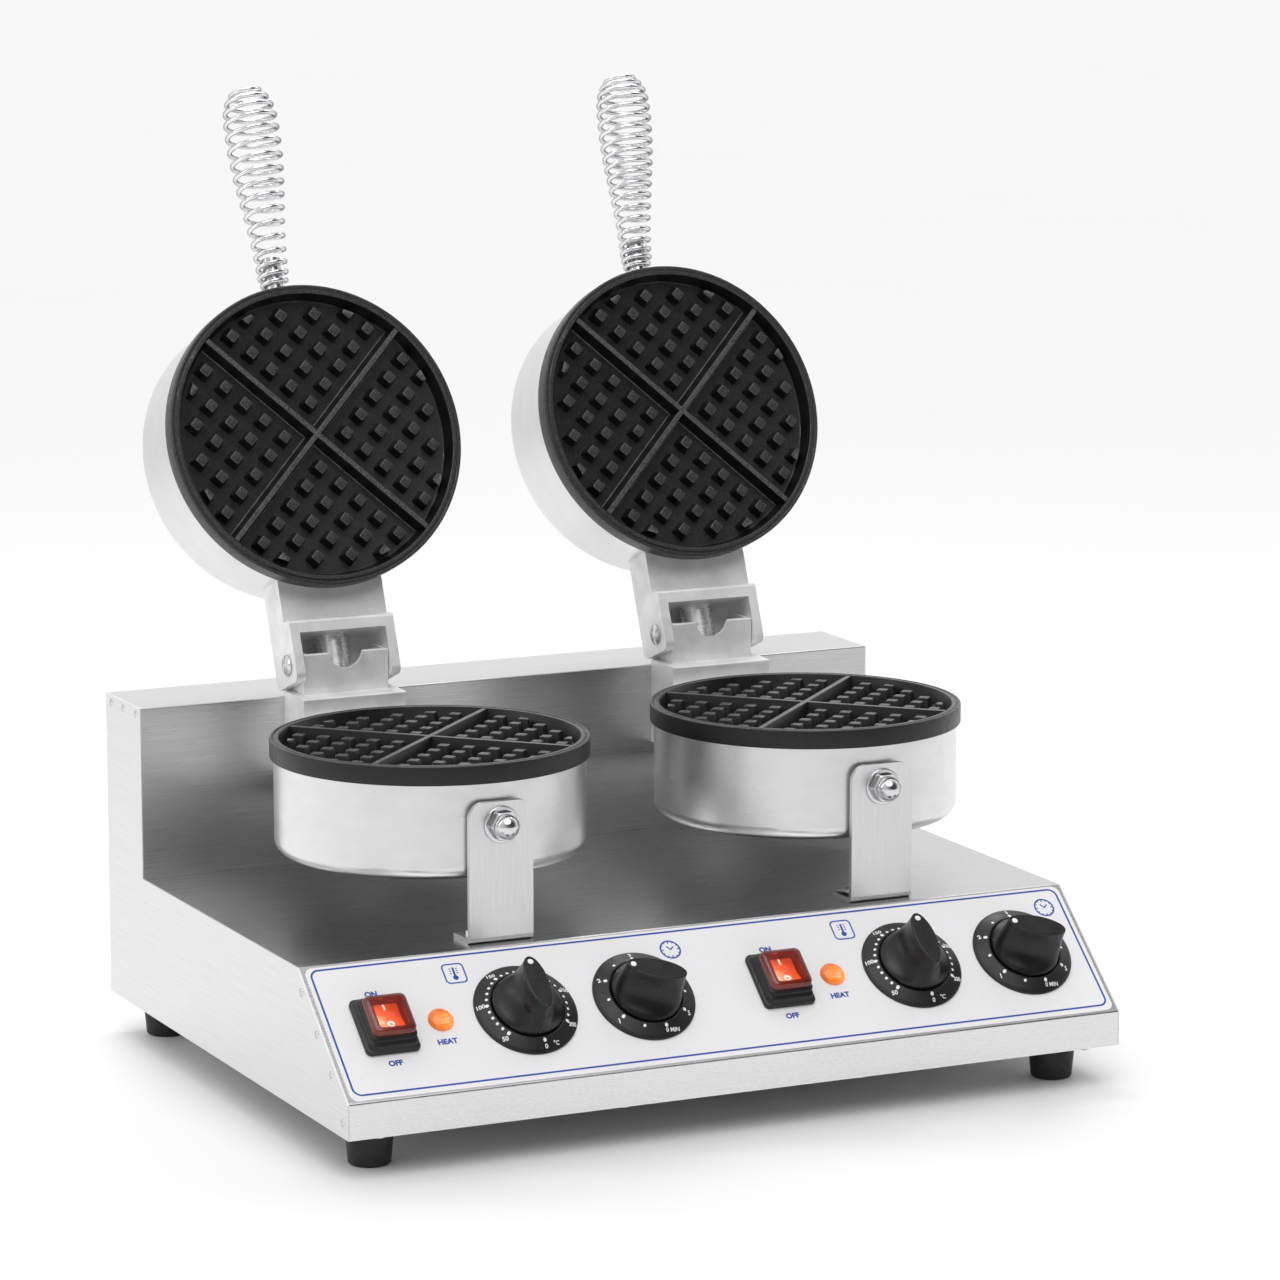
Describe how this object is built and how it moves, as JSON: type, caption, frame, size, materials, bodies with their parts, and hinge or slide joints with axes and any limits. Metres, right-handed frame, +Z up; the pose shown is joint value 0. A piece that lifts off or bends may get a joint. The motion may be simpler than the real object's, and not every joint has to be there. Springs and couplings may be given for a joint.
{
  "type": "waffle cone maker",
  "caption": "Counter-top double round waffle baker: sloping control panel, tilting lids with coil handles, pegged baking plates, thermostats, timers and rocker switches.",
  "frame": {"origin": "on the counter, under the middle of the whole baker with both lids open on their stops", "axes": "+Z up, +X to the operator's right, -Y towards the operator"},
  "size_m": [0.5016, 0.48, 0.5793],
  "materials": {
    "casing_steel": "satin stainless sheet",
    "drum_steel": "brushed stainless, turned",
    "strap_steel": "brushed stainless strip",
    "overlay_film": "pale printed film with a blue border",
    "foot_rubber": "black rubber",
    "screw_steel": "bright zinc or nickel plate",
    "plate_casting": "cast aluminium with black non-stick coat",
    "hinge_casting": "linished cast aluminium",
    "heater_sheath": "heat-tinted steel tube",
    "mineral_wool": "compressed ceramic fibre",
    "polished_tube": "polished tube",
    "handle_chrome": "chromed spring wire",
    "switch_black": "black moulded plastic",
    "rocker_red": "translucent red, lit from inside",
    "boot_clear": "clear red-tinted silicone boot",
    "knob_black": "black satin plastic",
    "lamp_amber": "amber faceted lens",
    "control_works": "pale moulded works and steel frame",
    "gland_black": "black nylon"
  },
  "bodies": {
    "console": {"console_shell": "casing_steel", "console_side_left": "casing_steel", "console_side_right": "casing_steel", "rear_side_left": "casing_steel", "rear_side_right": "casing_steel", "splash_panel": "casing_steel", "rear_panel": "casing_steel", "bottom_plate": "casing_steel", "panel_overlay": "overlay_film", "rubber_feet": "foot_rubber", "base_screws": "screw_steel", "side_rivets": "screw_steel", "cable_gland": "gland_black", "terminal_block": "control_works", "left_lower_plate": "plate_casting", "left_lower_drum": "drum_steel", "left_lower_heater": "heater_sheath", "left_lower_insulation": "mineral_wool", "left_support_strap": "strap_steel", "left_strap_fasteners": "screw_steel", "left_hinge_base": "hinge_casting", "left_hinge_screws": "screw_steel", "left_switch_body": "switch_black", "left_switch_cover": "boot_clear", "right_lower_plate": "plate_casting", "right_lower_drum": "drum_steel", "right_lower_heater": "heater_sheath", "right_lower_insulation": "mineral_wool", "right_support_strap": "strap_steel", "right_strap_fasteners": "screw_steel", "right_hinge_base": "hinge_casting", "right_hinge_screws": "screw_steel", "right_switch_body": "switch_black", "right_switch_cover": "boot_clear", "heat_lamps": "lamp_amber", "dial_rings": "knob_black", "thermostats": "control_works", "timers": "control_works"},
    "left_lid": {"left_upper_plate": "plate_casting", "left_upper_drum": "drum_steel", "left_upper_heater": "heater_sheath", "left_upper_insulation": "mineral_wool", "left_lid_bracket": "hinge_casting", "left_wire_conduit": "polished_tube", "left_handle_coil": "handle_chrome", "left_handle_stud": "screw_steel"},
    "left_rocker": {"left_switch_rocker": "rocker_red"},
    "left_thermostat": {"left_thermostat_knob": "knob_black"},
    "left_timer": {"left_timer_knob": "knob_black"},
    "right_lid": {"right_upper_plate": "plate_casting", "right_upper_drum": "drum_steel", "right_upper_heater": "heater_sheath", "right_upper_insulation": "mineral_wool", "right_lid_bracket": "hinge_casting", "right_wire_conduit": "polished_tube", "right_handle_coil": "handle_chrome", "right_handle_stud": "screw_steel"},
    "right_rocker": {"right_switch_rocker": "rocker_red"},
    "right_thermostat": {"right_thermostat_knob": "knob_black"},
    "right_timer": {"right_timer_knob": "knob_black"}
  },
  "joints": [
    {"name": "left_lid_hinge", "type": "hinge", "parent": "console", "child": "left_lid", "pos_m": [-0.1215, 0.07933, 0.2347], "axis": [1, 0, 0], "range_deg": [0, 111.6]},
    {"name": "left_rocker_switch", "type": "hinge", "parent": "console", "child": "left_rocker", "pos_m": [-0.212, -0.20359, 0.07869], "axis": [1, 0, 0], "range_deg": [0, 16]},
    {"name": "left_thermostat_turn", "type": "hinge", "parent": "console", "child": "left_thermostat", "pos_m": [-0.124, -0.20229, 0.07717], "axis": [0, 0.6513, -0.7588], "range_deg": [-186, 123]},
    {"name": "left_timer_turn", "type": "hinge", "parent": "console", "child": "left_timer", "pos_m": [-0.0486, -0.20229, 0.07717], "axis": [0, 0.6513, -0.7588], "range_deg": [-120, 198]},
    {"name": "right_lid_hinge", "type": "hinge", "parent": "console", "child": "right_lid", "pos_m": [0.1295, 0.07933, 0.2347], "axis": [1, 0, 0], "range_deg": [0, 111.6]},
    {"name": "right_rocker_switch", "type": "hinge", "parent": "console", "child": "right_rocker", "pos_m": [0.04, -0.20359, 0.07869], "axis": [1, 0, 0], "range_deg": [0, 16]},
    {"name": "right_thermostat_turn", "type": "hinge", "parent": "console", "child": "right_thermostat", "pos_m": [0.128, -0.20229, 0.07717], "axis": [0, 0.6513, -0.7588], "range_deg": [-186, 123]},
    {"name": "right_timer_turn", "type": "hinge", "parent": "console", "child": "right_timer", "pos_m": [0.2034, -0.20229, 0.07717], "axis": [0, 0.6513, -0.7588], "range_deg": [-120, 198]}
  ]
}
